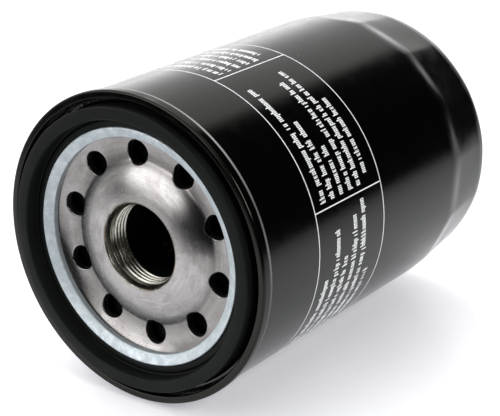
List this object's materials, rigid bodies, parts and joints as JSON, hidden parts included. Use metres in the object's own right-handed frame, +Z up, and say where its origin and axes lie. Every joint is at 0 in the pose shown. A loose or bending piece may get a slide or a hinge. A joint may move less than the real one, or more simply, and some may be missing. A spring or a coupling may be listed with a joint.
{
  "type": "spin-on oil filter",
  "caption": "Spin-on oil filter: black can with a fluted wrench end, threaded base plate with inlet holes, rubber gasket, and a pleated element with bypass and anti-drain valves inside.",
  "frame": {"origin": "on the filter's axis, halfway along the internal thread of the base plate", "axes": "the filter lies on its side: +Y along its axis from the threaded open end towards the fluted closed end, +Z up, +X to the right seen from the open end"},
  "size_m": [0.108, 0.1539, 0.108],
  "materials": {
    "black_paint": "satin black enamel on drawn steel sheet",
    "zinc_plate": "bright bluish zinc plating",
    "bare_steel": "oiled bare pressed steel",
    "black_rubber": "matt black nitrile rubber",
    "sealant": "glossy black seaming compound",
    "tinned_steel": "tinned steel sheet",
    "adhesive": "cured cream plastisol",
    "filter_paper": "resin-treated pleated paper",
    "hot_melt": "off-white hot-melt bead",
    "nylon": "black glass-filled nylon",
    "dark_steel": "dark phosphated steel sheet",
    "spring_steel": "plain spring steel wire"
  },
  "bodies": {
    "housing": {"canister": "black_paint", "seaming_lid": "zinc_plate", "base_plate": "bare_steel", "gasket": "black_rubber", "seam_sealant": "sealant", "valve_retainer_ring": "tinned_steel", "element_grommet": "black_rubber", "lower_end_cap": "tinned_steel", "lower_potting": "adhesive", "center_tube": "dark_steel", "pleated_media": "filter_paper", "media_seam_clip": "tinned_steel", "pleat_bands": "hot_melt", "upper_potting": "adhesive", "upper_end_cap": "tinned_steel", "bypass_valve_body": "tinned_steel", "bypass_body_seal": "black_rubber", "bypass_spring": "spring_steel", "bypass_spring_cage": "dark_steel", "support_spring": "spring_steel"},
    "drain_flap": {"anti_drain_valve": "black_rubber"},
    "bypass_poppet": {"bypass_valve_disc": "nylon", "bypass_disc_seal": "black_rubber"}
  },
  "joints": [
    {"name": "drain_flap_lift", "type": "slide", "parent": "housing", "child": "drain_flap", "axis": [0, 1, 0], "range_m": [0, 0.0015], "stiffness_N_per_m": 600, "springref_m": -0.001, "deforming": ["anti_drain_valve"]},
    {"name": "bypass_slide", "type": "slide", "parent": "housing", "child": "bypass_poppet", "axis": [0, -1, 0], "range_m": [0, 0.005], "stiffness_N_per_m": 4000, "springref_m": -0.007, "deforming": ["bypass_spring"]}
  ]
}
